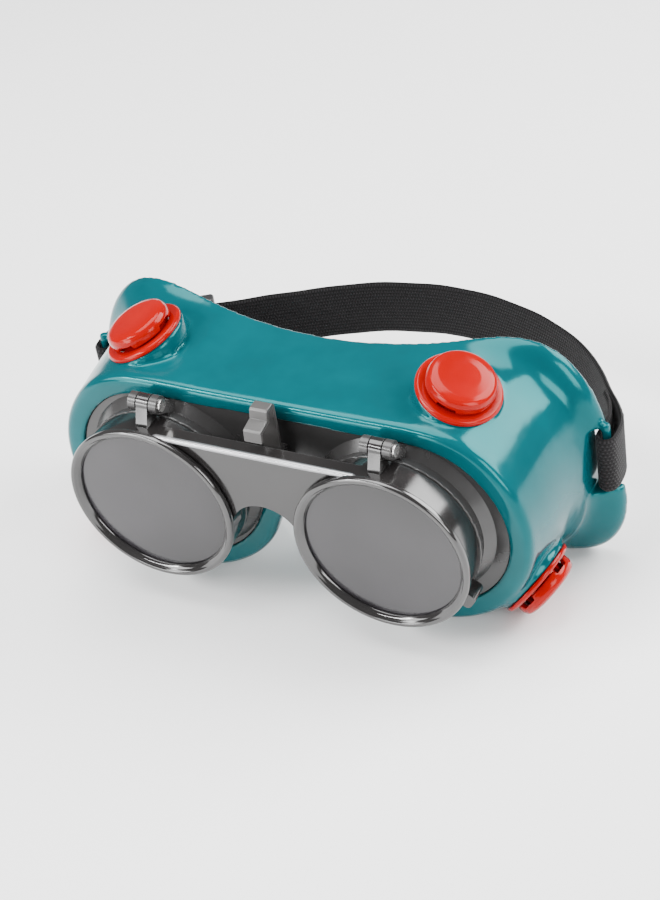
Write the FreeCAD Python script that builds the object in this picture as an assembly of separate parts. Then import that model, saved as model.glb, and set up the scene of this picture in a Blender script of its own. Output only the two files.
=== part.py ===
import FreeCAD, Part
import math
import os

# Welding goggles with a flip-up shade front. Millimetres.
# Design frame: X across the face, Y from the front rim back to the head, Z up.
# Y = 0 is the front plane of the soft body and Z = 0 is the height of the lens centres.

Vector = FreeCAD.Vector
ALONG_Y = Vector(0, 1, 0)

# Lenses
LENS_X = 38.3
LENS_R = 25.0
LENS_T = 3.0
CLEAR_APERTURE_R = 23.1
SHADE_APERTURE_R = 24.6

# Soft body
WALL = 2.4
FRONT_WALL = 3.0
END_X = 40.6
END_Z = -1.6
RIM_R = 37.6
RIM_TOP = 34.3
RIM_NOSE = (4.6, -12.0, -6.6)
OPENING_R = 30.6
OPENING_TOP = 28.3
OPENING_NOSE = (8.0, -4.5, 3.0)
FLARE_Y = 42.0
STATIONS = [11, 20, 28, 34, 38, FLARE_Y, 48, 54]
RIM_ROUND = 2.6

# Outline of the face side, right half, from the brow to the nose
FACE_SIDE = [
    (0, 32.6), (18, 33.2), (37, 36.0), (55, 38.8), (68, 36.6), (78, 27.8), (84.4, 13.5), (88.0, -3.0),
    (89.4, -15), (87.2, -27), (79, -37.0), (65, -38.4), (46, -31.2), (30, -21), (13, -9.6), (0, -7.0),
]
# Depth of the face edge across the width, far below the nose and far above the brow
FACE_EDGE_LOW = [(0, 20), (20, 28), (43, 40), (62, 44), (76, 45.5), (90, 45.5), (112, 45.5)]
FACE_EDGE_HIGH = [(0, 42), (20, 41), (43, 41), (62, 44), (76, 45.5), (90, 45.5), (112, 45.5)]
FACE_EDGE_Z = 80.0

# Front plate and the fixed clear lenses
PLATE_GAP = 0.1
PLATE_FRONT_Y = 1.0
PLATE_BACK_Y = 5.4
PLATE_LIP = 3.0
COLLAR_R = 26.2
COLLAR_ROOT_R = 29.0
COLLAR_FRONT_Y = -4.6
LENS_SEAT_Y = -0.3
GASKET_T = 0.8
RING_R = 27.0
RING_FRONT_Y = -5.6

# Flip-up front
CUP_R = 26.8
CUP_WALL = 1.2
CUP_BACK_Y = -6.0
CUP_FRONT_Y = -15.0
SHADE_SEAT_Y = -11.9
BEZEL_R = 27.8
BEZEL_FRONT_Y = -17.1
WEB_FRONT_Y = -14.6
WEB_T = 1.6
WEB_DEPTH = 5.0
WEB_TOP = 26.4
WEB_NOSE_R = 11.5
WEB_NOSE_Z = -4.5

# Hinges
HINGE_Y = -7.3
HINGE_Z = 32.4
HINGE_X = 38.0
PIN_R = 1.2
PIN_RUNNING_GAP = 0.06
EAR_GAP_X = 2.3
EAR_T = 2.5
EYE_R = 2.9
TONGUE_T = 3.8

# Catch
CATCH_W = 5.8
CATCH_FOOT_Y = -2.0
CATCH_T = 0.9
CATCH_FOOT_Z = 12.5
SCREW_Z = 15.2

# Vents
VENT_FLANGE_R = 13.0
VENT_FLANGE_T = 1.6
VENT_CAP_R = 10.5
VENT_HOLE_R = 8.0
VENT_H = 7.0
UPPER_VENT = (Vector(52, 18.5, 36.2), Vector(0.38, -0.10, 0.91))
LOWER_VENT = (Vector(72.0, 14, -26.2), Vector(0.80, -0.08, -0.60))

# Headband
BAND_W = 20.0
BAND_T = 1.4
BAR_X = (85.0, 87.8)
BAR_Y = (40.6, 43.4)
SLOT_HALF = 11.0
SLOT_X = 81.8
BAND_HOOK = [(83.8, 50.5), (83.8, 44.0), (84.3, 40.0), (86.4, 38.6), (88.5, 40.0), (89.0, 44.0), (88.0, 50.5)]
BAND_LEFT_TAIL = [(79.0, 61.0), (82.0, 56.4)]
BAND_LEFT = [
    (84.4, 56.8), (79.8, 62.8), (74.4, 70.4), (67.0, 78.8), (57.0, 86.6), (45.0, 92.8), (31.0, 97.4), (16.0, 99.6),
]
BAND_RIGHT_TAIL = [(77.3, 59.6), (79.6, 58.3), (82.3, 55.8)]
BAND_RIGHT = [
    (85.4, 55.6), (80.2, 59.7), (75.0, 62.7), (69.8, 65.7), (64.6, 68.7), (59.4, 71.7), (54.2, 74.7), (45.0, 80.0),
    (32.0, 87.0), (16.0, 94.6),
]
BAND_BACK = (0, 98.6)
SLIDER_AT = (66.4, 67.66)
SLIDER_RUN = (-5.2, 3.0)
SLIDER_L = 13.0

os.makedirs("parts", exist_ok=True)


def mirror_x(shape):
    return shape.mirror(Vector(0, 0, 0), Vector(1, 0, 0))


def both_sides(half):
    """Full closed outline from the right half, whose first and last points lie on X = 0."""
    left = [(-x, z) for x, z in reversed(half[1:-1])]
    return half + left


def inset(points, distance):
    """Moves each outline point inward, square to the outline."""
    moved = []
    count = len(points)
    for i, (x, z) in enumerate(points):
        ax, az = points[i - 1]
        bx, bz = points[(i + 1) % count]
        dx = bx - ax
        dz = bz - az
        size = math.hypot(dx, dz)
        moved.append((x + distance * dz / size, z - distance * dx / size))
    return moved


def closed_wire(points, y):
    curve = Part.BSplineCurve()
    curve.interpolate(Points=[Vector(x, y, z) for x, z in points], PeriodicFlag=True)
    return Part.Wire([curve.toShape()])


def slab(points, y0, y1):
    face = Part.Face(closed_wire(points, y0))
    return face.extrude(Vector(0, y1 - y0, 0))


def front_outline(radius, top, nose):
    """Bean outline: flat brow, round ends and an arch over the nose."""
    half = [(0, top), (0.4 * END_X, top), (0.78 * END_X, top), (END_X + 0.14 * radius, top - 0.2)]
    for step in range(10):
        a = math.radians(62 - 23.8 * step)
        half.append((END_X + radius * math.cos(a), END_Z + radius * math.sin(a)))
    half.append((nose[0], nose[1]))
    half.append((0, nose[2]))
    return both_sides(half)


def blend(a, b, w):
    return [(p[0] + (q[0] - p[0]) * w, p[1] + (q[1] - p[1]) * w) for p, q in zip(a, b)]


def cylinder_y(x, z, radius, y0, y1):
    return Part.makeCylinder(radius, y1 - y0, Vector(x, y0, z), ALONG_Y)


def ring_y(x, z, r_out, r_in, y0, y1):
    return cylinder_y(x, z, r_out, y0, y1).cut(cylinder_y(x, z, r_in, y0 - 1, y1 + 1))


def box(x0, x1, y0, y1, z0, z1):
    return Part.makeBox(x1 - x0, y1 - y0, z1 - z0, Vector(x0, y0, z0))


def prism_x(points, x0, x1):
    """Solid from a closed outline of (y, z) points."""
    wire = Part.makePolygon([Vector(x0, y, z) for y, z in points + points[:1]])
    return Part.Face(wire).extrude(Vector(x1 - x0, 0, 0))


def prism_y(points, y0, y1):
    """Solid from a closed outline of (x, z) points."""
    wire = Part.makePolygon([Vector(x, y0, z) for x, z in points + points[:1]])
    return Part.Face(wire).extrude(Vector(0, y1 - y0, 0))


# ---------------------------------------------------------------- soft body

RIM = front_outline(RIM_R, RIM_TOP, RIM_NOSE)
OPENING = front_outline(OPENING_R, OPENING_TOP, OPENING_NOSE)
FACE = both_sides(FACE_SIDE)


def flare(y):
    t = min(y / FLARE_Y, 1.0)
    return 0.40 * t + 0.60 * t ** 10


def shell(distance, stations):
    wires = []
    for y in stations:
        outline = blend(RIM, FACE, flare(y))
        wires.append(closed_wire(inset(outline, distance), y))
    return Part.makeLoft(wires, True)


def rounded_rim():
    """Front edge of the body, a quarter round swept along the rim."""
    wires = []
    for step in range(5):
        a = math.radians(22.5 * step)
        outline = blend(RIM, FACE, flare(RIM_ROUND))
        wires.append(closed_wire(inset(outline, RIM_ROUND * (1 - math.sin(a))), RIM_ROUND * (1 - math.cos(a))))
    return Part.makeLoft(wires, True)


def face_profile(half, z):
    right = [Vector(x, y, z) for x, y in half]
    left = [Vector(-v.x, v.y, z) for v in reversed(right[1:])]
    edge = Part.BSplineCurve()
    edge.interpolate(left + right)
    x_end, y_end = half[-1]
    corners = [(x_end, y_end), (x_end, 90), (-x_end, 90), (-x_end, y_end)]
    points = [Vector(x, y, z) for x, y in corners]
    return Part.Wire([edge.toShape()] + [Part.makeLine(p, q) for p, q in zip(points, points[1:])])


def face_cutter():
    """Everything behind the edge that rests on the face."""
    return Part.makeLoft([face_profile(FACE_EDGE_LOW, -FACE_EDGE_Z), face_profile(FACE_EDGE_HIGH, FACE_EDGE_Z)],
                         True, True)


def vent_axis(vent):
    at, axis = vent
    return at, axis.normalize()


def vent_cylinder(vent, radius, h0, h1):
    at, axis = vent_axis(vent)
    return Part.makeCylinder(radius, h1 - h0, at + axis * h0, axis)


outer = shell(0, [RIM_ROUND] + STATIONS).fuse(rounded_rim())
inner = shell(WALL, [FRONT_WALL] + STATIONS)
lug_fill = box(SLOT_X - 2.9, 100, 31, 70, -SLOT_HALF - 4, SLOT_HALF + 4)
hollow = inner.cut(lug_fill).cut(mirror_x(lug_fill))
for vent in (UPPER_VENT, LOWER_VENT):
    pad = vent_cylinder(vent, VENT_HOLE_R + 3.5, -8.5, 3)
    pad = pad.common(box(-100, 100, PLATE_BACK_Y + 0.4, 60, -60, 60))
    hollow = hollow.cut(pad).cut(mirror_x(pad))
body = outer
for vent in (UPPER_VENT, LOWER_VENT):
    seat = vent_cylinder(vent, VENT_FLANGE_R, -5.0, 0)
    body = body.fuse(seat).fuse(mirror_x(seat))
body = body.cut(hollow)
for vent in (UPPER_VENT, LOWER_VENT):
    hole = vent_cylinder(vent, VENT_HOLE_R, -14, 6)
    body = body.cut(hole).cut(mirror_x(hole))
body = body.cut(slab(OPENING, -5, FRONT_WALL + 1))
body = body.cut(face_cutter())
notch = box(SLOT_X, 100, 30, 70, -SLOT_HALF, SLOT_HALF)
bar = box(BAR_X[0], BAR_X[1], BAR_Y[0], BAR_Y[1], -SLOT_HALF - 2.5, SLOT_HALF + 2.5)
bar = bar.makeFillet(1.2, [e for e in bar.Edges if abs(e.BoundBox.ZLength) > 5])
body = body.cut(notch).cut(mirror_x(notch)).fuse(bar).fuse(mirror_x(bar))
goggle_body = body.removeSplitter()

# ------------------------------------------------------------- front plate

plate = slab(inset(OPENING, PLATE_GAP), PLATE_FRONT_Y, FRONT_WALL)
plate = plate.fuse(slab(inset(OPENING, -PLATE_LIP), FRONT_WALL, PLATE_BACK_Y))
plate_window = slab(inset(OPENING, PLATE_GAP), -10, FRONT_WALL)
for side in (-1, 1):
    x = side * LENS_X
    plate = plate.fuse(cylinder_y(x, 0, COLLAR_R, COLLAR_FRONT_Y, FRONT_WALL))
    root = Part.makeCone(COLLAR_R, COLLAR_ROOT_R, 2.8, Vector(x, PLATE_FRONT_Y - 2.8, 0), ALONG_Y)
    plate = plate.fuse(root.common(plate_window))
    for ear in (-1, 1):
        x0 = side * HINGE_X + ear * EAR_GAP_X
        x1 = x0 + ear * EAR_T
        ear_side = [
            (FRONT_WALL, 25.4), (-4.4, 25.4), (-4.4, 27.4), (HINGE_Y - 1.6, 30.0), (HINGE_Y, HINGE_Z),
            (HINGE_Y + 1.0, HINGE_Z + 2.7), (-1.4, 28.1), (FRONT_WALL, 28.1),
        ]
        plate = plate.fuse(prism_x(ear_side, min(x0, x1), max(x0, x1)))
        knuckle = Part.makeCylinder(EYE_R, EAR_T, Vector(min(x0, x1), HINGE_Y, HINGE_Z), Vector(1, 0, 0))
        plate = plate.fuse(knuckle)
    plate = plate.cut(cylinder_y(x, 0, LENS_R + 0.1, COLLAR_FRONT_Y - 1, LENS_SEAT_Y))
    plate = plate.cut(cylinder_y(x, 0, CLEAR_APERTURE_R, -10, 20))
    pin_hole = Part.makeCylinder(PIN_R, 12, Vector(side * HINGE_X - 6, HINGE_Y, HINGE_Z), Vector(1, 0, 0))
    plate = plate.cut(pin_hole)
catch_pad = box(-CATCH_W / 2, CATCH_W / 2, CATCH_FOOT_Y, FRONT_WALL, CATCH_FOOT_Z, SCREW_Z + 4)
plate = plate.fuse(catch_pad)
plate = plate.cut(Part.makeCylinder(1.0, 4.6, Vector(0, CATCH_FOOT_Y, SCREW_Z), ALONG_Y))
front_plate = plate.removeSplitter()


def clear_side(x):
    seat = LENS_SEAT_Y
    lens_front = seat - GASKET_T - LENS_T
    gasket = ring_y(x, 0, LENS_R, CLEAR_APERTURE_R, seat - GASKET_T, seat)
    lens = cylinder_y(x, 0, LENS_R, lens_front, seat - GASKET_T)
    ring = ring_y(x, 0, RING_R, CLEAR_APERTURE_R, RING_FRONT_Y, COLLAR_FRONT_Y)
    ring = ring.fuse(ring_y(x, 0, LENS_R, CLEAR_APERTURE_R, COLLAR_FRONT_Y, lens_front))
    bevel = Part.makeCone(CLEAR_APERTURE_R + 1.2, CLEAR_APERTURE_R, 1.2, Vector(x, RING_FRONT_Y, 0), ALONG_Y)
    ring = ring.cut(bevel)
    for step in range(4):
        a = math.radians(45 + 90 * step)
        at = Vector(x + RING_R * math.cos(a), RING_FRONT_Y - 1, RING_R * math.sin(a))
        ring = ring.cut(Part.makeCylinder(1.4, 3, at, ALONG_Y))
    return lens, gasket, ring


# ---------------------------------------------------------- flip-up front

cups = None
hollows = None
for side in (-1, 1):
    x = side * LENS_X
    cup = cylinder_y(x, 0, CUP_R, CUP_FRONT_Y, CUP_BACK_Y)
    bore = cylinder_y(x, 0, CUP_R - CUP_WALL, CUP_FRONT_Y - 1, SHADE_SEAT_Y)
    bore = bore.fuse(cylinder_y(x, 0, CUP_R - CUP_WALL, SHADE_SEAT_Y + 1.3, CUP_BACK_Y + 1))
    bore = bore.fuse(cylinder_y(x, 0, SHADE_APERTURE_R - 0.8, CUP_FRONT_Y - 1, CUP_BACK_Y + 1))
    a = math.radians(-33 if side > 0 else 213)
    grip = box(CUP_R - 1.5, CUP_R + 3.6, -12.4, CUP_BACK_Y, -2.6, 2.6)
    grip = grip.makeFillet(1.6, [e for e in grip.Edges if e.BoundBox.XMin > CUP_R + 3 and e.BoundBox.YLength > 4])
    grip.rotate(Vector(0, 0, 0), ALONG_Y, -math.degrees(a))
    grip.translate(Vector(x, 0, 0))
    tongue_side = [
        (HINGE_Y - EYE_R, HINGE_Z), (HINGE_Y + EYE_R * 0.7, HINGE_Z - EYE_R * 0.7), (HINGE_Y + 0.9, 26.2),
        (-12.6, 26.2),
    ]
    tongue = prism_x(tongue_side, side * HINGE_X - TONGUE_T / 2, side * HINGE_X + TONGUE_T / 2)
    eye = Part.makeCylinder(EYE_R, TONGUE_T, Vector(side * HINGE_X - TONGUE_T / 2, HINGE_Y, HINGE_Z), Vector(1, 0, 0))
    cup = cup.fuse(grip).fuse(tongue).fuse(eye)
    cups = cup if cups is None else cups.fuse(cup)
    hollows = bore if hollows is None else hollows.fuse(bore)


def web_outline(margin):
    """Bridge between the cups, cut by the nose arch."""
    corners = [(-LENS_X, WEB_TOP - margin), (LENS_X, WEB_TOP - margin), (LENS_X, WEB_NOSE_Z), (-LENS_X, WEB_NOSE_Z)]
    sheet = prism_y(corners, -30, 10)
    arch = cylinder_y(0, WEB_NOSE_Z, WEB_NOSE_R + margin, -30, 10)
    return sheet.cut(arch)


web_box = box(-60, 60, WEB_FRONT_Y, WEB_FRONT_Y + WEB_DEPTH, -40, 40)
web = web_outline(0).common(web_box)
web_hollow = web_outline(1.5).common(box(-60, 60, WEB_FRONT_Y + WEB_T, 10, -40, 40))
web = web.cut(web_hollow)
web = web.fuse(box(-1.15, 1.15, WEB_FRONT_Y + 0.5, WEB_FRONT_Y + 3.6, 12, WEB_TOP - 0.5))
flip = cups.fuse(web).cut(hollows)
for side in (-1, 1):
    start = Vector(side * HINGE_X - 6, HINGE_Y, HINGE_Z)
    flip = flip.cut(Part.makeCylinder(PIN_R + PIN_RUNNING_GAP, 12, start, Vector(1, 0, 0)))
flip_frame = flip.removeSplitter()


def shade_side(x):
    lens = cylinder_y(x, 0, CUP_R - CUP_WALL - 0.1, CUP_FRONT_Y + 0.1, SHADE_SEAT_Y)
    bezel = ring_y(x, 0, BEZEL_R, SHADE_APERTURE_R, BEZEL_FRONT_Y, CUP_FRONT_Y)
    bevel = Part.makeCone(SHADE_APERTURE_R + 1.6, SHADE_APERTURE_R, 1.6, Vector(x, BEZEL_FRONT_Y, 0), ALONG_Y)
    bezel = bezel.cut(bevel)
    rim = [e for e in bezel.Edges if abs(e.BoundBox.YMax - BEZEL_FRONT_Y) < 0.01 and e.BoundBox.XLength > 54]
    bezel = bezel.makeFillet(0.7, rim)
    return lens, bezel


def hinge_pin(side):
    length = 2 * (EAR_GAP_X + EAR_T) + 1.0
    pin = Part.makeCylinder(PIN_R, length, Vector(side * HINGE_X - length / 2, HINGE_Y, HINGE_Z), Vector(1, 0, 0))
    head = Part.makeCylinder(1.9, 0.8, Vector(side * HINGE_X + length / 2 - 0.5, HINGE_Y, HINGE_Z), Vector(1, 0, 0))
    return pin.fuse(head).removeSplitter()


# ------------------------------------------------------------------ catch

t = CATCH_T
foot_y = CATCH_FOOT_Y
leaf = [
    (foot_y - t, CATCH_FOOT_Z), (foot_y, CATCH_FOOT_Z), (foot_y, 36.4), (foot_y - 1.0, 37.4), (-6.3, 37.4),
    (-6.9, 36.8), (-7.4, 34.2), (-11.5, 33.4), (-12.0, 32.8), (-12.3, 29.4), (-11.3, 29.3), (-10.9, 32.2),
    (-6.4, 32.9), (-5.8, 36.2), (foot_y - t - 0.6, 36.2), (foot_y - t, 35.6),
]
catch = prism_x(leaf, -CATCH_W / 2, CATCH_W / 2)
catch = catch.cut(Part.makeCylinder(1.15, 6, Vector(0, -6, SCREW_Z), ALONG_Y))
catch_spring = catch
screw = Part.makeCylinder(1.0, 4.4, Vector(0, foot_y - t, SCREW_Z), ALONG_Y)
head = Part.makeCylinder(2.0, 1.1, Vector(0, foot_y - t - 1.1, SCREW_Z), ALONG_Y)
head = head.cut(box(-0.35, 0.35, foot_y - t - 2, foot_y - t - 0.6, SCREW_Z - 3, SCREW_Z + 3))
catch_screw = screw.fuse(head)

# ------------------------------------------------------------------ vents


def vent_base(vent):
    flange = vent_cylinder(vent, VENT_FLANGE_R, 0, VENT_FLANGE_T)
    tube = vent_cylinder(vent, VENT_HOLE_R, -9.6, VENT_FLANGE_T)
    snap = vent_cylinder(vent, VENT_HOLE_R + 0.9, -9.9, -8.6)
    post = vent_cylinder(vent, VENT_HOLE_R - 0.4, 0, 5.0)
    base = flange.fuse(tube).fuse(snap).fuse(post)
    base = base.cut(vent_cylinder(vent, VENT_HOLE_R - 2.0, -12, 8))
    at, axis = vent_axis(vent)
    across = axis.cross(ALONG_Y).normalize()
    for step in range(4):
        window = Part.makeBox(30, 4.0, 2.2, Vector(-15, -2, 0))
        window.rotate(Vector(0, 0, 0), Vector(0, 0, 1), 45 * step)
        window.Placement = FreeCAD.Placement(Vector(0, 0, 0), FreeCAD.Rotation(Vector(0, 0, 1), axis)).multiply(
            window.Placement)
        window.translate(at + axis * (VENT_FLANGE_T + 0.4))
        base = base.cut(window.common(vent_cylinder(vent, VENT_HOLE_R + 1, 0, 6)))
    return base.removeSplitter()


def vent_cap(vent):
    cap = vent_cylinder(vent, VENT_CAP_R, VENT_FLANGE_T + 0.6, VENT_H)
    at, axis = vent_axis(vent)
    top = at + axis * VENT_H
    rims = [e for e in cap.Edges if (e.BoundBox.Center - top).Length < 0.5]
    cap = cap.makeFillet(2.6, rims)
    cap = cap.cut(vent_cylinder(vent, VENT_CAP_R - 1.4, 0, 5.0))
    return cap


# --------------------------------------------------------------- headband


def ribbon(points, thickness, z0, z1):
    """Solid strip of even thickness along a plan curve."""
    curve = Part.BSplineCurve()
    curve.interpolate([Vector(x, y, z0) for x, y in points])
    first = curve.FirstParameter
    last = curve.LastParameter
    count = 6 * len(points)
    sides = ([], [])
    for i in range(count + 1):
        u = first + (last - first) * i / count
        at = curve.value(u)
        along = curve.tangent(u)[0]
        square = Vector(-along.y, along.x, 0)
        sides[0].append(at + square * (thickness / 2))
        sides[1].append(at - square * (thickness / 2))
    edges = []
    for side in sides:
        line = Part.BSplineCurve()
        line.interpolate(side)
        edges.append(line.toShape())
    edges.append(Part.makeLine(sides[0][0], sides[1][0]))
    edges.append(Part.makeLine(sides[0][-1], sides[1][-1]))
    wire = Part.Wire(Part.__sortEdges__(edges))
    return Part.Face(wire).extrude(Vector(0, 0, z1 - z0))


left_path = BAND_LEFT_TAIL + BAND_HOOK + BAND_LEFT
right_path = BAND_RIGHT_TAIL + BAND_HOOK + BAND_RIGHT
band_path = left_path + [BAND_BACK] + [(-x, y) for x, y in reversed(right_path)]
headband = ribbon(band_path, BAND_T, -BAND_W / 2, BAND_W / 2)


def strap_slider():
    """Three-bar slide on the straight stretch of the band, built flat and turned into place."""
    gap = 0.35
    half_w = BAND_W / 2 + 0.5
    rail = 2.4
    inside = BAND_T / 2 + gap
    frame = box(-SLIDER_L / 2, SLIDER_L / 2, -inside - 1.2, inside + 1.2, -half_w - rail, half_w + rail)
    frame = frame.makeFillet(1.0, frame.Edges)
    frame = frame.cut(box(-20, 20, -inside, inside, -half_w, half_w))
    frame = frame.cut(box(-3.8, 3.8, inside - 0.5, 10, -half_w, half_w))
    frame = frame.cut(box(-20, -2.0, -10, -inside + 0.5, -half_w, half_w))
    frame = frame.cut(box(2.0, 20, -10, -inside + 0.5, -half_w, half_w))
    turn = math.degrees(math.atan2(SLIDER_RUN[1], SLIDER_RUN[0])) + 180
    frame.rotate(Vector(0, 0, 0), Vector(0, 0, 1), turn)
    frame.translate(Vector(SLIDER_AT[0], SLIDER_AT[1], 0))
    return mirror_x(frame)


# ----------------------------------------------------------------- export

nodes = {
    "goggle_body": goggle_body,
    "front_plate": front_plate,
    "flip_frame": flip_frame,
    "catch_spring": catch_spring,
    "catch_screw": catch_screw,
    "headband": headband,
    "strap_slider": strap_slider(),
}
for side, label in ((-1, "right"), (1, "left")):
    x = side * LENS_X
    lens, gasket, ring = clear_side(x)
    nodes["clear_lens_" + label] = lens
    nodes["lens_gasket_" + label] = gasket
    nodes["lens_ring_" + label] = ring
    shade, bezel = shade_side(x)
    nodes["shade_lens_" + label] = shade
    nodes["flip_ring_" + label] = bezel
    nodes["hinge_pin_" + label] = hinge_pin(side)
for name, vent in (("upper", UPPER_VENT), ("lower", LOWER_VENT)):
    base = vent_base(vent)
    cap = vent_cap(vent)
    nodes["vent_base_" + name + "_left"] = base
    nodes["vent_cap_" + name + "_left"] = cap
    nodes["vent_base_" + name + "_right"] = mirror_x(base)
    nodes["vent_cap_" + name + "_right"] = mirror_x(cap)

points = [p for shape in nodes.values() for p in shape.tessellate(0.05)[0]]
low_y = min(p.y for p in points)
high_y = max(p.y for p in points)
origin = Vector(0, (low_y + high_y) / 2, min(p.z for p in points))
for node, shape in nodes.items():
    shape.translate(origin * -1)
    shape.exportStep("parts/" + node + ".step")
    print(node, shape.isValid(), len(shape.Solids), round(shape.Volume, 1))
print("origin", origin, "half width", max(p.x for p in points), min(p.x for p in points))
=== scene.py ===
"""Welding goggles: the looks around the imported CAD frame.

Sizes and places of pieces are in millimetres of the design frame. Its Y = 0 is the front plane of the soft
body, and its Z = 0 is the height of the lens centres. Lights, camera and floor are in metres.
"""
import math
import random
import bpy
import bmesh
from mathutils import Matrix, Vector


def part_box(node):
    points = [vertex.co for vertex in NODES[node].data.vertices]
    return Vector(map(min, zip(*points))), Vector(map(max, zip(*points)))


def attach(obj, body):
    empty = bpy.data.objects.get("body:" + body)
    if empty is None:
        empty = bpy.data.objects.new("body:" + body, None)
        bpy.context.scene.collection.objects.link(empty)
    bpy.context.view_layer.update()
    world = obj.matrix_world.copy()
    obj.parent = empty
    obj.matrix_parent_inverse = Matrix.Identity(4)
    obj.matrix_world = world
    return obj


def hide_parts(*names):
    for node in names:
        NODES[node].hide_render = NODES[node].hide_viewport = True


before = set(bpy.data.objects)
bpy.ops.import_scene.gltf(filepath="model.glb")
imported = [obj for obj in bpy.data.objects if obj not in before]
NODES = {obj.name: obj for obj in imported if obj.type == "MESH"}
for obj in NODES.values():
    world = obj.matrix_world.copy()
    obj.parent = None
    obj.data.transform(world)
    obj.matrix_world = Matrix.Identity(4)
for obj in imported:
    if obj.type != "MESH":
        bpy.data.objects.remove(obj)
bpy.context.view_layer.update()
SIDES = (("left", 1), ("right", -1))
MM = 0.001

# The hinge axis ties the design frame to the row frame.
HINGE_Y = -7.3
HINGE_Z = 32.4
low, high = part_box("hinge_pin_left")
ORIGIN = Vector((0, (low.y + high.y) / 2 - HINGE_Y * MM, (low.z + high.z) / 2 - HINGE_Z * MM))


def at(x, y, z):
    """Row-frame position of a design-frame point in millimetres."""
    return Vector((x * MM, y * MM, z * MM)) + ORIGIN


# ------------------------------------------------------------------ materials


class Paint:
    """Principled material with helpers for procedural detail, in object coordinates."""

    def __init__(self, name, color, rough=0.4, **sockets):
        self.mat = bpy.data.materials.new(name)
        self.mat.use_nodes = True
        self.tree = self.mat.node_tree
        self.bsdf = self.tree.nodes["Principled BSDF"]
        self.bsdf.inputs["Base Color"].default_value = (*color, 1)
        self.bsdf.inputs["Roughness"].default_value = rough
        for key, value in sockets.items():
            self.bsdf.inputs[key.replace("_", " ")].default_value = value
        self.coord = self.tree.nodes.new("ShaderNodeTexCoord")
        self.space = self.coord.outputs["Object"]
        self.last_bump = None

    def node(self, kind, **settings):
        made = self.tree.nodes.new("ShaderNode" + kind)
        for key, value in settings.items():
            setattr(made, key, value)
        return made

    def link(self, a, b):
        self.tree.links.new(a, b)

    def noise(self, scale, detail=4.0, rough=0.55, stretch=None):
        made = self.node("TexNoise")
        made.inputs["Scale"].default_value = scale
        made.inputs["Detail"].default_value = detail
        made.inputs["Roughness"].default_value = rough
        space = self.space
        if stretch:
            mapping = self.node("Mapping")
            mapping.inputs["Scale"].default_value = stretch
            self.link(space, mapping.inputs["Vector"])
            space = mapping.outputs["Vector"]
        self.link(space, made.inputs["Vector"])
        return made.outputs["Fac"]

    def ramp(self, value, stops):
        made = self.node("ValToRGB")
        ramp = made.color_ramp
        while len(ramp.elements) < len(stops):
            ramp.elements.new(0.5)
        for element, (pos, color) in zip(ramp.elements, stops):
            element.position = pos
            element.color = (*color, 1) if len(color) == 3 else color
        self.link(value, made.inputs["Fac"])
        return made.outputs["Color"]

    def range(self, value, low_in, high_in, low_out, high_out):
        made = self.node("MapRange")
        numbers = {"From Min": low_in, "From Max": high_in, "To Min": low_out, "To Max": high_out}
        for key, number in numbers.items():
            made.inputs[key].default_value = number
        self.link(value, made.inputs["Value"])
        return made.outputs["Result"]

    def math(self, kind, a, b=None):
        made = self.node("Math", operation=kind)
        for socket, value in zip(made.inputs, (a, b)):
            if value is None:
                continue
            if isinstance(value, (int, float)):
                socket.default_value = value
            else:
                self.link(value, socket)
        return made.outputs["Value"]

    def mix(self, factor, a, b):
        """Blend of two colours. The node's colour sockets are inputs 6 and 7 and output 2."""
        made = self.node("Mix", data_type="RGBA")
        for socket, value in zip((made.inputs["Factor"], made.inputs[6], made.inputs[7]), (factor, a, b)):
            if isinstance(value, tuple):
                socket.default_value = (*value, 1)
            elif isinstance(value, (int, float)):
                socket.default_value = value
            else:
                self.link(value, socket)
        return made.outputs[2]

    def base(self, color):
        self.link(color, self.bsdf.inputs["Base Color"])

    def rough(self, value):
        self.link(value, self.bsdf.inputs["Roughness"])

    def edges(self, radius):
        """0 on open surfaces, rising where the surface turns sharply within the radius."""
        made = self.node("Bevel", samples=4)
        made.inputs["Radius"].default_value = radius
        dot = self.node("VectorMath", operation="DOT_PRODUCT")
        self.link(made.outputs["Normal"], dot.inputs[0])
        self.link(self.node("NewGeometry").outputs["Normal"], dot.inputs[1])
        return self.math("SUBTRACT", 1.0, dot.outputs["Value"])

    def bump(self, height, depth, strength=1.0):
        """Relief of the given depth in metres, on top of any relief before it."""
        made = self.node("Bump")
        made.inputs["Strength"].default_value = strength
        made.inputs["Distance"].default_value = depth
        self.link(height, made.inputs["Height"])
        if self.last_bump is not None:
            self.link(self.last_bump, made.inputs["Normal"])
        self.last_bump = made.outputs["Normal"]
        self.link(self.last_bump, self.bsdf.inputs["Normal"])


def shade(color, factor):
    """The colour made darker or lighter by a factor."""
    return tuple(min(1.0, c * factor) for c in color)


# Width of the rubbed band along an edge, in millimetres.
EDGE_WEAR = 0.6


def moulded(name, color, rough, worn, grain=0.00004, **sockets):
    """Moulded plastic: slight colour drift, uneven gloss, faint grain and edges rubbed lighter."""
    paint = Paint(name, color, rough, **sockets)
    drift = paint.noise(55, 3)
    tone = paint.ramp(drift, [(0.30, shade(color, 0.86)), (0.55, color), (0.75, shade(color, 1.12))])
    rubbed = paint.range(paint.edges(EDGE_WEAR * MM), 0.01, 0.12, 0.0, 0.6)
    scuff = paint.range(paint.noise(420, 5, 0.7), 0.42, 0.62, 0.25, 1.0)
    paint.base(paint.mix(paint.math("MULTIPLY", rubbed, scuff), tone, worn))
    smear = paint.noise(70, 5, 0.6)
    paint.rough(paint.range(smear, 0.3, 0.75, max(0.04, rough - 0.05), rough + 0.07))
    paint.bump(paint.noise(120, 1), 0.00006, 0.30)
    paint.bump(paint.noise(3200, 2), grain, 0.12)
    return paint


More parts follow.
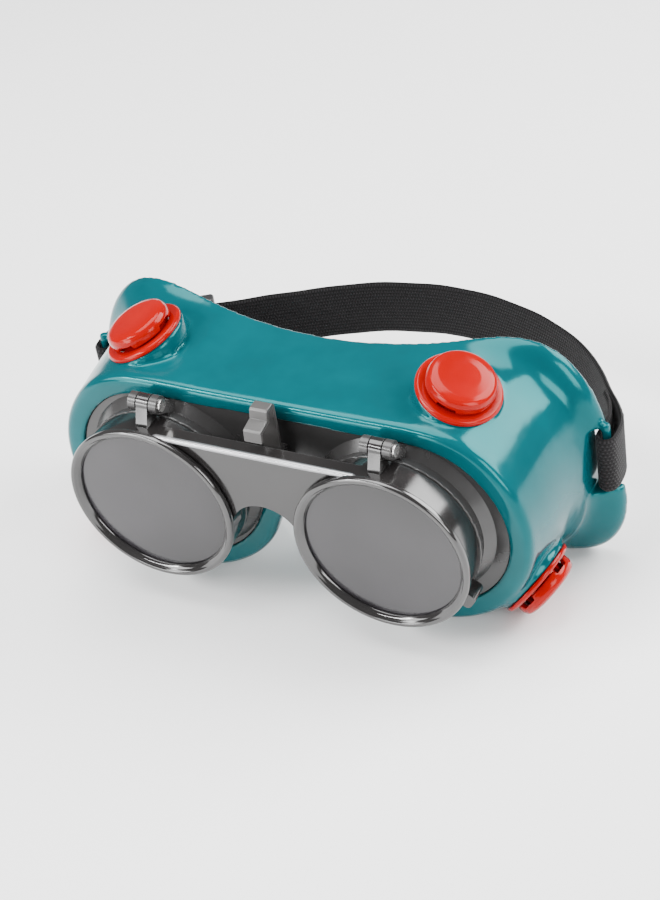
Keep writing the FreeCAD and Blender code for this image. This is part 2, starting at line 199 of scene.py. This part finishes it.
TEAL = (0.0, 0.060, 0.072)
RED = (0.28, 0.0, 0.0)
teal = moulded("teal_vinyl", TEAL, 0.14, (0.0, 0.10, 0.12), Specular_IOR_Level=0.42,
               Specular_Tint=(0.22, 1.0, 1.0, 1))
red = moulded("red_vent", RED, 0.13, (0.38, 0.0, 0.0), Specular_IOR_Level=0.32,
              Specular_Tint=(1.0, 0.45, 0.4, 1))
black = moulded("black_plate", (0.030, 0.029, 0.029), 0.24, (0.03, 0.03, 0.03))
flip_black = moulded("smoke_flip", (0.012, 0.011, 0.011), 0.14, (0.06, 0.06, 0.06), Specular_IOR_Level=0.7)
bezel_black = moulded("bezel_gloss", (0.015, 0.014, 0.014), 0.09, (0.09, 0.09, 0.09), Specular_IOR_Level=0.9)
# Painted highlight: the bead's light metallic grey stands in for the bright line of reflected light along the
# black bridge's top edge.
highlight_bead_paint = moulded("painted_highlight_edge", (0.30, 0.30, 0.31), 0.16, (0.45, 0.45, 0.45), Metallic=0.7)
grey = moulded("catch_grey", (0.046, 0.044, 0.043), 0.34, (0.12, 0.12, 0.12))
matte = moulded("slider_black", (0.010, 0.010, 0.011), 0.45, (0.04, 0.04, 0.04), grain=0.00008)


def lens_paint(name, dark, light, rough, **sockets):
    """Glass: a slow drift in tone and faint wipe marks in its gloss."""
    paint = Paint(name, dark, rough, **sockets)
    cloud = paint.noise(26, 2)
    paint.base(paint.ramp(cloud, [(0.30, dark), (0.72, light)]))
    wipe = paint.noise(90, 5, 0.6, (1.0, 1.0, 6.0))
    paint.rough(paint.range(wipe, 0.35, 0.7, rough, rough + 0.07))
    paint.bump(paint.noise(900, 3), 0.00001, 0.25)
    return paint


shade_glass = lens_paint("shade_glass", (0.010, 0.0095, 0.010), (0.024, 0.022, 0.025), 0.13,
                         Specular_IOR_Level=0.60)
clear_glass = lens_paint("clear_glass", (0.80, 0.88, 0.86), (0.90, 0.95, 0.94), 0.015,
                         Transmission_Weight=0.93, IOR=1.5, Coat_Weight=0.5, Coat_Roughness=0.02)

rubber = Paint("gasket_rubber", (0.02, 0.02, 0.02), 0.7)
rubber.base(rubber.ramp(rubber.noise(300, 4), [(0.3, (0.014, 0.014, 0.014)), (0.7, (0.035, 0.034, 0.033))]))
rubber.bump(rubber.noise(1800, 3), 0.00006, 0.6)

steel = Paint("pin_steel", (0.55, 0.54, 0.53), 0.3, Metallic=1.0)
steel.base(steel.ramp(steel.noise(700, 4), [(0.3, (0.42, 0.41, 0.40)), (0.7, (0.66, 0.65, 0.64))]))
steel.rough(steel.range(steel.noise(1500, 3), 0.3, 0.7, 0.2, 0.42))
steel.bump(steel.noise(1200, 2, 0.5, (8.0, 1.0, 1.0)), 0.00003, 0.5)


# Spacing of the weave in millimetres: ribs side by side across the band, and picks along it.
RIB_PITCH = 1.25
PICK_PITCH = 0.95


def woven(name, dark, light):
    """Woven elastic, from the band's own coordinates: millimetres along it and across it."""
    paint = Paint(name, dark, 0.85, Sheen_Weight=0.05, Sheen_Roughness=0.5, Specular_IOR_Level=0.15)
    paint.space = paint.coord.outputs["UV"]
    split = paint.node("SeparateXYZ")
    paint.link(paint.space, split.inputs["Vector"])
    along, across = split.outputs["X"], split.outputs["Y"]
    rib = paint.math("SINE", paint.math("MULTIPLY", across, 2 * math.pi / RIB_PITCH))
    shift = paint.math("MULTIPLY", paint.math("FLOOR", paint.math("DIVIDE", across, RIB_PITCH)), math.pi)
    phase = paint.math("MULTIPLY", along, 2 * math.pi / PICK_PITCH)
    pick = paint.math("SINE", paint.math("ADD", phase, shift))
    ribs = paint.range(rib, -1, 1, 0, 1)
    picks = paint.range(pick, -1, 1, 0, 1)
    thread = paint.math("MULTIPLY", paint.math("POWER", ribs, 0.6), picks)
    fuzz = paint.noise(1.6, 5, 0.7)
    # Painted shade: the weave is darker in the dips between ribs and picks, mixed with random fuzz tone.
    gap_shade_and_fuzz = paint.math("ADD", paint.math("MULTIPLY", thread, 0.7), paint.math("MULTIPLY", fuzz, 0.3))
    paint.base(paint.ramp(gap_shade_and_fuzz, [(0.15, dark), (0.85, light)]))
    paint.rough(paint.range(fuzz, 0.3, 0.7, 0.75, 0.95))
    paint.bump(thread, 0.00022, 0.8)
    paint.bump(fuzz, 0.00010, 0.6)
    return paint


webbing = woven("band_webbing", (0.004, 0.0037, 0.004), (0.022, 0.0205, 0.022))

stitch = Paint("stitch_thread", (0.05, 0.047, 0.052), 0.75, Sheen_Weight=0.3)
stitch.base(stitch.ramp(stitch.noise(900, 3), [(0.3, (0.03, 0.028, 0.032)), (0.7, (0.075, 0.07, 0.078))]))
stitch.bump(stitch.noise(3000, 2), 0.0001, 0.8)

# ---------------------------------------------------------------------- helpers


def link_mesh(name, mesh, paint, body, slot, *replaced):
    """Adds a mesh as a piece that rides on a body, in place of the CAD nodes named last."""
    obj = bpy.data.objects.new(name, mesh)
    bpy.context.scene.collection.objects.link(obj)
    mesh.materials.clear()
    mesh.materials.append(paint.mat)
    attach(obj, body)
    if replaced:
        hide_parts(*replaced)


def smooth(mesh, angle=0):
    """Smooth shading, with edges left sharp past the angle in degrees. 0 leaves none sharp."""
    mesh.shade_smooth()
    if angle:
        mesh.set_sharp_from_angle(angle=math.radians(angle))


def baked(obj):
    """Mesh of obj with its modifiers applied."""
    bpy.context.view_layer.update()
    graph = bpy.context.evaluated_depsgraph_get()
    return bpy.data.meshes.new_from_object(obj.evaluated_get(graph))


def lathe(profile, centre, axis, steps, shape=None):
    """Closed (radius, height) profile turned about axis. shape(radius, height, turn) may move a point."""
    axis = axis.normalized()
    side = axis.cross(Vector((0, 1, 0)))
    if side.length < 0.1:
        side = axis.cross(Vector((1, 0, 0)))
    side.normalize()
    up = axis.cross(side)
    mesh = bpy.data.meshes.new("lathe")
    grid = bmesh.new()
    rings = []
    for radius, height in profile:
        ring = []
        for i in range(steps if radius > 0 else 1):
            turn = 2 * math.pi * i / steps
            r, h = shape(radius, height, turn) if shape else (radius, height)
            place = side * (math.cos(turn) * r) + up * (math.sin(turn) * r) + axis * h
            ring.append(grid.verts.new(centre + place * MM))
        rings.append(ring)
    pairs = list(zip(rings, rings[1:]))
    if profile[0][0] > 0 and profile[-1][0] > 0:
        pairs.append((rings[-1], rings[0]))
    for a, b in pairs:
        for i in range(steps):
            j = (i + 1) % steps
            corners = [a[i % len(a)], a[j % len(a)], b[j % len(b)], b[i % len(b)]]
            unique = list(dict.fromkeys(corners))
            if len(unique) > 2:
                grid.faces.new(unique)
    bmesh.ops.recalc_face_normals(grid, faces=grid.faces)
    grid.to_mesh(mesh)
    grid.free()
    return mesh


def rounded(points, radius, steps=4):
    """Closed (radius, height) profile with its corners rounded by up to radius."""
    done = []
    count = len(points)
    for i, p in enumerate(points):
        p = Vector(p)
        a = Vector(points[i - 1]) - p
        b = Vector(points[(i + 1) % count]) - p
        cut = min(radius, a.length * 0.45, b.length * 0.45)
        if p.x <= 0 or cut < 0.01:
            done.append(tuple(p))
            continue
        start = p + a.normalized() * cut
        end = p + b.normalized() * cut
        for k in range(steps + 1):
            t = k / steps
            q = start * (1 - t) ** 2 + p * (2 * t * (1 - t)) + end * t ** 2
            done.append((q.x, q.y))
    return done


# In CAD nodes that stay in view, points this near (metres) are welded, and edges past this angle are rounded.
WELD_GAP = 0.00001
EDGE_ANGLE = 32


def softened(node, paint, width):
    """Keeps a CAD node, with its hard edges rounded by width millimetres and a better material."""
    obj = NODES[node]
    obj.data.materials.clear()
    obj.data.materials.append(paint.mat)
    weld = obj.modifiers.new("weld", "WELD")
    weld.merge_threshold = WELD_GAP
    bevel = obj.modifiers.new("bevel", "BEVEL")
    bevel.width = width * MM
    bevel.segments = 3
    bevel.limit_method = "ANGLE"
    bevel.angle_limit = math.radians(EDGE_ANGLE)
    for face in obj.data.polygons:
        face.use_smooth = True
    normals = obj.modifiers.new("normals", "WEIGHTED_NORMAL")
    normals.keep_sharp = True


# ------------------------------------------------------------------- soft body

BODY_VOXEL = 0.5
RELAX_FACTOR = 0.5
RELAX_STEPS = 24


def soft_body():
    """The moulded body: the CAD solid remeshed and relaxed, so that every junction flows like soft vinyl."""
    source = bpy.data.objects.new("body_source", NODES["goggle_body"].data.copy())
    bpy.context.scene.collection.objects.link(source)
    remesh = source.modifiers.new("remesh", "REMESH")
    remesh.mode = "VOXEL"
    remesh.voxel_size = BODY_VOXEL * MM
    settle = source.modifiers.new("settle", "SHRINKWRAP")
    settle.target = NODES["goggle_body"]
    settle.wrap_method = "NEAREST_SURFACEPOINT"
    relax = source.modifiers.new("relax", "SMOOTH")
    relax.factor = RELAX_FACTOR
    relax.iterations = RELAX_STEPS
    mesh = baked(source)
    bpy.data.objects.remove(source)
    mesh.name = "body_shell"
    smooth(mesh)
    link_mesh("body_shell", mesh, teal, "goggle", "body_pvc", "goggle_body")


soft_body()

# ------------------------------------------------- CAD nodes that stay in view

softened("front_plate", black, 0.45)
softened("flip_frame", flip_black, 0.4)
softened("catch_spring", grey, 0.22)
softened("strap_slider", matte, 0.3)
softened("catch_screw", steel, 0.12)
for label, _ in SIDES:
    softened("hinge_pin_" + label, steel, 0.2)
    softened("lens_gasket_" + label, rubber, 0.15)

# ------------------------------------------------------- lenses, rings and bezels

# Height 0 of each turned profile lies at its Y.
LENS_X = 38.3
FORWARD = Vector((0, -1, 0))
CLEAR_LENS_Y = -1.1
RETAINING_RING_Y = -4.6
SHADE_LENS_Y = -11.9
BEZEL_Y = -15.0
GRIP_NOTCHES = 36
GRIP_DEPTH = 0.22
BEAD_Y = -14.35
BEAD_Z = 25.95


def front_lathe(side, y, profile, round_by, sharp, shape=None, steps=128):
    """Turned piece on one side's lens axis. Heights in the profile are millimetres forward of y."""
    mesh = lathe(rounded(profile, round_by), at(side * LENS_X, y, 0), FORWARD, steps, shape)
    smooth(mesh, sharp)
    return mesh


def clear_disc(label, side):
    disc = [(0, 0), (24.95, 0), (24.95, 3.0), (0, 3.0)]
    mesh = front_lathe(side, CLEAR_LENS_Y, disc, 0.35, 30)
    link_mesh("clear_disc_" + label, mesh, clear_glass, "goggle", "clear_glass", "clear_lens_" + label)


def shade_disc(label, side):
    disc = [(0, 0.02), (25.45, 0.02), (25.45, 2.98), (12, 3.0), (0, 3.0)]
    mesh = front_lathe(side, SHADE_LENS_Y, disc, 0.4, 30)
    link_mesh("shade_disc_" + label, mesh, shade_glass, "flip_front", "shade_glass", "shade_lens_" + label)


def retaining_ring(label, side):
    ring = [
        (23.1, -0.55), (24.95, -0.55), (24.95, 0.02), (27.0, 0.02), (27.0, 0.75), (26.4, 1.0), (25.6, 1.0),
        (25.3, 0.78), (24.5, 0.78), (24.2, 0.55), (23.1, -0.2),
    ]

    def grip(radius, height, turn):
        """Notches in the outer edge."""
        notch = max(0.0, math.cos(turn * GRIP_NOTCHES)) ** 2
        return (radius - GRIP_DEPTH * notch if radius > 26.6 else radius), height

    mesh = front_lathe(side, RETAINING_RING_Y, ring, 0.15, 40, grip, 12 * GRIP_NOTCHES)
    link_mesh("retaining_ring_" + label, mesh, black, "goggle", "black_gloss", "lens_ring_" + label)


def bezel(label, side):
    ring = [
        (24.6, 0.0), (27.8, 0.0), (27.8, 1.5), (27.3, 2.1), (26.3, 2.1), (25.9, 1.75), (25.2, 1.3),
        (24.6, 0.5),
    ]
    mesh = front_lathe(side, BEZEL_Y, ring, 0.35, 40)
    link_mesh("bezel_" + label, mesh, bezel_black, "flip_front", "bezel_black", "flip_ring_" + label)


def bridge_bead():
    """Bead along the top front edge of the bridge, in a light metallic grey that is a painted highlight line
    on the black edge.
    """
    rod = [(0, -33.4), (0.6, -33.2), (1.0, -32.2), (1.0, 32.2), (0.6, 33.2), (0, 33.4)]
    mesh = lathe(rounded(rod, 0.2), at(0, BEAD_Y, BEAD_Z), Vector((1, 0, 0)), 40)
    smooth(mesh, 40)
    link_mesh("bridge_bead", mesh, highlight_bead_paint, "flip_front", "bezel_black")


for label, side in SIDES:
    clear_disc(label, side)
    shade_disc(label, side)
    retaining_ring(label, side)
    bezel(label, side)
bridge_bead()

# ----------------------------------------------------------------------- vents

# Place and axis of the vents on the left. Heights in their profiles are millimetres out along the axis.
VENTS = {
    "upper": (Vector((52, 18.5, 36.2)), Vector((0.38, -0.10, 0.91))),
    "lower": (Vector((72.0, 14, -26.2)), Vector((0.80, -0.08, -0.60))),
}
VENT_STEPS = 144
# The cap's skirt lies outside SKIRT_R and below SKIRT_TOP. Its slots open where their wave is over SLOT_WAVE.
CAP_SLOTS = 4
SKIRT_R = 8.9
SKIRT_TOP = 3.6
SLOT_FOOT = 2.1
SLOT_WAVE = 0.35
SLOT_SLOPE = 14
NECK_RIBS = 12
RIB_DEPTH = 0.9


def vent(label, side, level):
    """One vent: the base through the wall and the cap over it."""
    place, axis = VENTS[level]
    centre = at(side * place.x, place.y, place.z)
    axis = Vector((side * axis.x, axis.y, axis.z)).normalized()
    name = level + "_" + label

    def slots(radius, height, turn):
        """Air slots in the cap's skirt."""
        wave = math.cos(turn * CAP_SLOTS)
        if SKIRT_R < radius and height < SKIRT_TOP and wave > SLOT_WAVE:
            return radius, max(height, min(SKIRT_TOP, SLOT_FOOT + (wave - SLOT_WAVE) * SLOT_SLOPE))
        return radius, height

    cap = [
        (0, 4.9), (9.0, 4.7), (9.1, 3.6), (9.15, 2.2), (10.4, 2.2), (10.5, 3.6), (10.45, 4.6), (9.9, 5.9),
        (9.0, 6.5), (7.6, 6.85), (5.0, 7.0), (0, 7.0),
    ]
    mesh = lathe(rounded(cap, 0.35, 3), centre, axis, VENT_STEPS, slots)
    smooth(mesh, 38)
    link_mesh("vent_top_" + name, mesh, red, "goggle", "vent_red", "vent_cap_" + name)

    def windows(radius, height, turn):
        """Ribs round the neck between the flange and the cap."""
        if 7.2 < radius < 8.2 and 1.7 < height < 5.1:
            return radius - (RIB_DEPTH if math.cos(turn * NECK_RIBS) > 0 else 0), height
        return radius, height

    base = [
        (6.0, -9.9), (8.5, -9.9), (8.9, -9.2), (8.3, -8.6), (8.0, -8.6), (8.0, 0.0), (13.0, 0.0), (13.0, 0.9),
        (12.4, 1.6), (9.6, 1.6), (9.2, 1.35), (8.4, 1.35), (7.7, 1.8), (7.7, 4.95), (6.0, 4.95),
    ]
    mesh = lathe(rounded(base, 0.3, 3), centre, axis, VENT_STEPS, windows)
    smooth(mesh, 38)
    link_mesh("vent_seat_" + name, mesh, red, "goggle", "vent_red", "vent_base_" + name)


for label, side in SIDES:
    vent(label, side, "upper")
    vent(label, side, "lower")

# -------------------------------------------------------------------- headband

BAND_W = 20.0
BAND_T = 1.4
# Plan points of the band, (x, y), mirrored in x for the right: sewn end, round the lug's bar, then backwards.
HOOK = [(83.8, 50.5), (83.8, 44.0), (84.3, 40.0), (86.4, 38.6), (88.5, 40.0), (89.0, 44.0), (88.0, 50.5)]
LEFT_TAIL = [(79.0, 61.0), (82.0, 56.4)]
LEFT = [
    (84.4, 56.8), (79.8, 62.8), (74.4, 70.4), (67.0, 78.8), (57.0, 86.6), (45.0, 92.8), (31.0, 97.4),
    (16.0, 99.6),
]
RIGHT_TAIL = [(77.3, 59.6), (79.6, 58.3), (82.3, 55.8)]
RIGHT = [
    (85.4, 55.6), (80.2, 59.7), (75.0, 62.7), (69.8, 65.7), (64.6, 68.7), (59.4, 71.7), (54.2, 74.7),
    (45.0, 80.0), (32.0, 87.0), (16.0, 94.6),
]
BACK = (0, 98.6)
STEPS_PER_SPAN = 14
STEPS_ACROSS = 22
# The ribbon is a little thinner than the CAD band, and rounded over SOFT_EDGE at both edges.
THICKNESS_SHARE = 0.98
SOFT_EDGE = 0.5
# The band's edges wander by RIPPLE, turning RIPPLE_TURN radians in each millimetre.
RIPPLE = 0.10
RIPPLE_TURN = 0.33


def spline(points, per_span):
    """Points along a centripetal spline through the given plan points."""
    pts = [Vector(p) for p in points]
    ends = [pts[0] * 2 - pts[1]] + pts + [pts[-1] * 2 - pts[-2]]
    done = []
    for p0, p1, p2, p3 in zip(ends, ends[1:], ends[2:], ends[3:]):
        t1 = (p1 - p0).length ** 0.5
        t2 = t1 + (p2 - p1).length ** 0.5
        t3 = t2 + (p3 - p2).length ** 0.5
        for k in range(per_span):
            t = t1 + (t2 - t1) * k / per_span
            a1 = p0 * ((t1 - t) / t1) + p1 * (t / t1)
            a2 = p1 * ((t2 - t) / (t2 - t1)) + p2 * ((t - t1) / (t2 - t1))
            a3 = p2 * ((t3 - t) / (t3 - t2)) + p3 * ((t - t2) / (t3 - t2))
            b1 = a1 * ((t2 - t) / t2) + a2 * (t / t2)
            b2 = a2 * ((t3 - t) / (t3 - t1)) + a3 * ((t - t1) / (t3 - t1))
            done.append(b1 * ((t2 - t) / (t2 - t1)) + b2 * ((t - t1) / (t2 - t1)))
    done.append(pts[-1])
    return done


def headband():
    """The band: a ribbon with soft edges, swept along its plan from one sewn end to the other."""
    path = LEFT_TAIL + HOOK + LEFT + [BACK] + [(-x, y) for x, y in reversed(RIGHT_TAIL + HOOK + RIGHT)]
    line = spline(path, STEPS_PER_SPAN)
    section = []
    half_t = BAND_T / 2
    half_w = BAND_W / 2
    for sign in (1, -1):
        for k in range(STEPS_ACROSS + 1):
            v = (k / STEPS_ACROSS * 2 - 1) * sign
            edge = min(1.0, (1 - abs(v)) * half_w / SOFT_EDGE)
            swell = math.sqrt(max(0.0, 1 - (1 - edge) ** 2))
            section.append((sign * half_t * swell * THICKNESS_SHARE, v * half_w))
    grid = bmesh.new()
    uv = grid.loops.layers.uv.new("weave")
    rows = []
    run = 0.0
    runs = []
    for i, p in enumerate(line):
        q0 = line[max(i - 1, 0)]
        q1 = line[min(i + 1, len(line) - 1)]
        tangent = (q1 - q0).normalized()
        normal = Vector((-tangent.y, tangent.x))
        if i:
            run += (p - line[i - 1]).length
        runs.append(run)
        row = []
        for off, z in section:
            ripple = RIPPLE * math.sin(run * RIPPLE_TURN) * (abs(z) / half_w) ** 2
            place = p + normal * off
            row.append(grid.verts.new(at(place.x, place.y, z + ripple)))
        rows.append(row)
    count = len(section)
    for i in range(len(rows) - 1):
        for k in range(count):
            j = (k + 1) % count
            face = grid.faces.new([rows[i][k], rows[i][j], rows[i + 1][j], rows[i + 1][k]])
            spots = [(runs[i], section[k][1]), (runs[i], section[j][1]), (runs[i + 1], section[j][1]),
                     (runs[i + 1], section[k][1])]
            for loop, spot in zip(face.loops, spots):
                loop[uv].uv = spot
    for row in (rows[0], rows[-1]):
        grid.faces.new(row)
    bmesh.ops.remove_doubles(grid, verts=grid.verts, dist=0.000002)
    bmesh.ops.recalc_face_normals(grid, faces=grid.faces)
    mesh = bpy.data.meshes.new("band")
    grid.to_mesh(mesh)
    grid.free()
    smooth(mesh, 60)
    link_mesh("band", mesh, webbing, "goggle", "band_fabric", "headband")


# Stitches: half sizes along, across and out of the band, and the seams' places on it.
STITCH_SIZE = (0.78, 0.26, 0.20)
STITCH_SPREAD = 0.05
STITCH_LIFT = 0.02
STITCH_SEED = 7
STITCH_PITCH = 1.9
STITCH_INSET = 0.8
SEAM_Z = 8.4
END_SEAM_Z = 7.4
END_STITCHES = 9


def stitches(label, side, plan):
    """Box of thread stitches through the sewn overlap, standing on the outer face of the band."""
    line = spline(plan, 20)
    grid = bmesh.new()
    random.seed(STITCH_SEED + side)
    length = 0.0
    marks = []
    for a, b in zip(line, line[1:]):
        length += (b - a).length
        marks.append((length, a, (b - a).normalized()))

    def place_on(s):
        for reach, a, tangent in marks:
            if reach >= s:
                return a, tangent
        return marks[-1][1], marks[-1][2]

    def add(s, z, upright):
        p, tangent = place_on(s)
        outward = Vector((tangent.y, -tangent.x))
        if outward.x < 0:
            outward = -outward
        spot = p + outward * (BAND_T / 2 + STITCH_LIFT)
        long = Vector((0, 0, 1)) if upright else Vector((side * tangent.x, tangent.y, 0))
        out = Vector((side * outward.x, outward.y, 0))
        flat = long.cross(out)
        turn = Matrix((long, flat, out)).transposed().to_4x4()
        half_length, half_width, half_height = STITCH_SIZE
        half_length += random.uniform(-STITCH_SPREAD, STITCH_SPREAD)
        scale = Matrix.Diagonal((half_length, half_width, half_height, 1))
        shape = Matrix.Translation(at(side * spot.x, spot.y, z)) @ turn @ scale @ Matrix.Scale(MM, 4)
        bmesh.ops.create_uvsphere(grid, u_segments=10, v_segments=6, radius=1.0, matrix=shape)

    first, last = STITCH_INSET, length - STITCH_INSET
    count = int((last - first) / STITCH_PITCH)
    for i in range(count + 1):
        s = first + (last - first) * i / count
        for z in (-SEAM_Z, SEAM_Z):
            add(s, z, False)
    for i in range(END_STITCHES):
        z = -END_SEAM_Z + 2 * END_SEAM_Z * i / (END_STITCHES - 1)
        add(first, z, True)
        add(last, z, True)
    mesh = bpy.data.meshes.new("stitches")
    grid.to_mesh(mesh)
    grid.free()
    smooth(mesh)
    link_mesh("band_stitches_" + label, mesh, stitch, "goggle", "band_fabric")


headband()
stitches("left", 1, [(87.2, 52.4), (84.4, 56.8), (81.2, 61.0)])
stitches("right", -1, [(87.3, 52.2), (85.4, 55.6), (80.6, 59.5)])

# ----------------------------------------------------------------------- floor

FLOOR_HALF = 3
# The floor fades out between these distances from the goggles.
FADE_NEAR = 0.36
FADE_FAR = 0.66


def studio_floor():
    """Matt floor. Seen directly, its far part fades into the backdrop. For all other light it stays whole."""
    paint = Paint("studio_floor", (0.88, 0.88, 0.88), 0.75)
    paint.base(paint.ramp(paint.noise(3, 3), [(0.3, (0.87, 0.87, 0.87)), (0.7, (0.90, 0.90, 0.90))]))
    away = paint.node("VectorMath", operation="LENGTH")
    paint.link(paint.space, away.inputs[0])
    far = paint.range(away.outputs["Value"], FADE_NEAR, FADE_FAR, 0, 1)
    seen = paint.node("LightPath").outputs["Is Camera Ray"]
    fade = paint.node("MixShader")
    paint.link(paint.math("MULTIPLY", far, seen), fade.inputs["Fac"])
    paint.link(paint.bsdf.outputs["BSDF"], fade.inputs[1])
    paint.link(paint.node("BsdfTransparent").outputs["BSDF"], fade.inputs[2])
    paint.link(fade.outputs["Shader"], paint.tree.nodes["Material Output"].inputs["Surface"])
    mesh = bpy.data.meshes.new("floor")
    corners = [(-1, -1), (1, -1), (1, 1), (-1, 1)]
    mesh.from_pydata([(x * FLOOR_HALF, y * FLOOR_HALF, 0) for x, y in corners], [], [(0, 1, 2, 3)])
    mesh.materials.append(paint.mat)
    return mesh


floor = bpy.data.objects.new("floor", studio_floor())
bpy.context.scene.collection.objects.link(floor)

# ---------------------------------------------------------------------- lights

ROOM_GLOW = 0.22
BACKDROP_GLOW = 2.6
TARGET = at(0, 26, 0)


def studio_world():
    """White world: bright where the camera sees it, dim as a light on the goggles."""
    world = bpy.data.worlds.new("studio")
    bpy.context.scene.world = world
    world.use_nodes = True
    tree = world.node_tree
    background = tree.nodes["Background"]
    background.inputs["Color"].default_value = (1.0, 1.0, 1.0, 1)
    ray = tree.nodes.new("ShaderNodeLightPath")
    glow = tree.nodes.new("ShaderNodeMapRange")
    glow.inputs["To Min"].default_value = ROOM_GLOW
    glow.inputs["To Max"].default_value = BACKDROP_GLOW
    tree.links.new(ray.outputs["Is Camera Ray"], glow.inputs["Value"])
    tree.links.new(glow.outputs["Result"], background.inputs["Strength"])


def softbox(name, where, size, power):
    """Rectangular light aimed at the goggles: place and size in metres, power in watts."""
    data = bpy.data.lights.new(name, "AREA")
    data.shape = "RECTANGLE"
    data.size, data.size_y = size
    data.energy = power
    lamp = bpy.data.objects.new(name, data)
    bpy.context.scene.collection.objects.link(lamp)
    lamp.location = where
    lamp.rotation_euler = (TARGET - Vector(where)).to_track_quat("-Z", "Y").to_euler()


studio_world()
softbox("top_box", (-0.12, 0.05, 0.80), (0.75, 0.55), 13.0)
softbox("left_front_box", (-0.7, -0.65, 0.55), (0.5, 0.6), 9.0)
softbox("low_front_box", (-0.45, -0.97, 0.16), (0.5, 0.26), 6.5)
softbox("right_front_box", (0.85, -0.35, 0.42), (0.4, 0.5), 7.0)
softbox("front_strip", (-0.47, -0.69, 0.71), (0.75, 0.07), 9.0)
softbox("right_back_box", (0.62, 0.50, 0.62), (0.75, 0.60), 21.0)

# ---------------------------------------------------------------------- camera

AZIMUTH = math.radians(33.58)
ELEVATION = math.radians(39.25)
ROLL = math.radians(11.06)
DISTANCE = 0.644
SENSOR_MM = 36.0
LENS_MM = 86.0
CLIP_START = 0.02
AIM = at(4.5, 21, 1.5)


def place_camera():
    """Camera above and to the wearer's left, rolled a little."""
    level = math.cos(ELEVATION)
    back = Vector((math.sin(AZIMUTH) * level, -math.cos(AZIMUTH) * level, math.sin(ELEVATION)))
    eye = at(0, 0, 0) + back * DISTANCE
    look = (AIM - eye).normalized()
    right = Vector((math.cos(AZIMUTH), math.sin(AZIMUTH), 0))
    up = right.cross(look).normalized()
    right = look.cross(up).normalized()
    turn = Matrix((right, up, -look)).transposed().to_4x4()
    data = bpy.data.cameras.new("camera")
    data.sensor_width = SENSOR_MM
    data.lens = LENS_MM
    data.clip_start = CLIP_START
    camera = bpy.data.objects.new("camera", data)
    bpy.context.scene.collection.objects.link(camera)
    camera.matrix_world = Matrix.Translation(eye) @ turn @ Matrix.Rotation(-ROLL, 4, "Z")
    bpy.context.scene.camera = camera


place_camera()
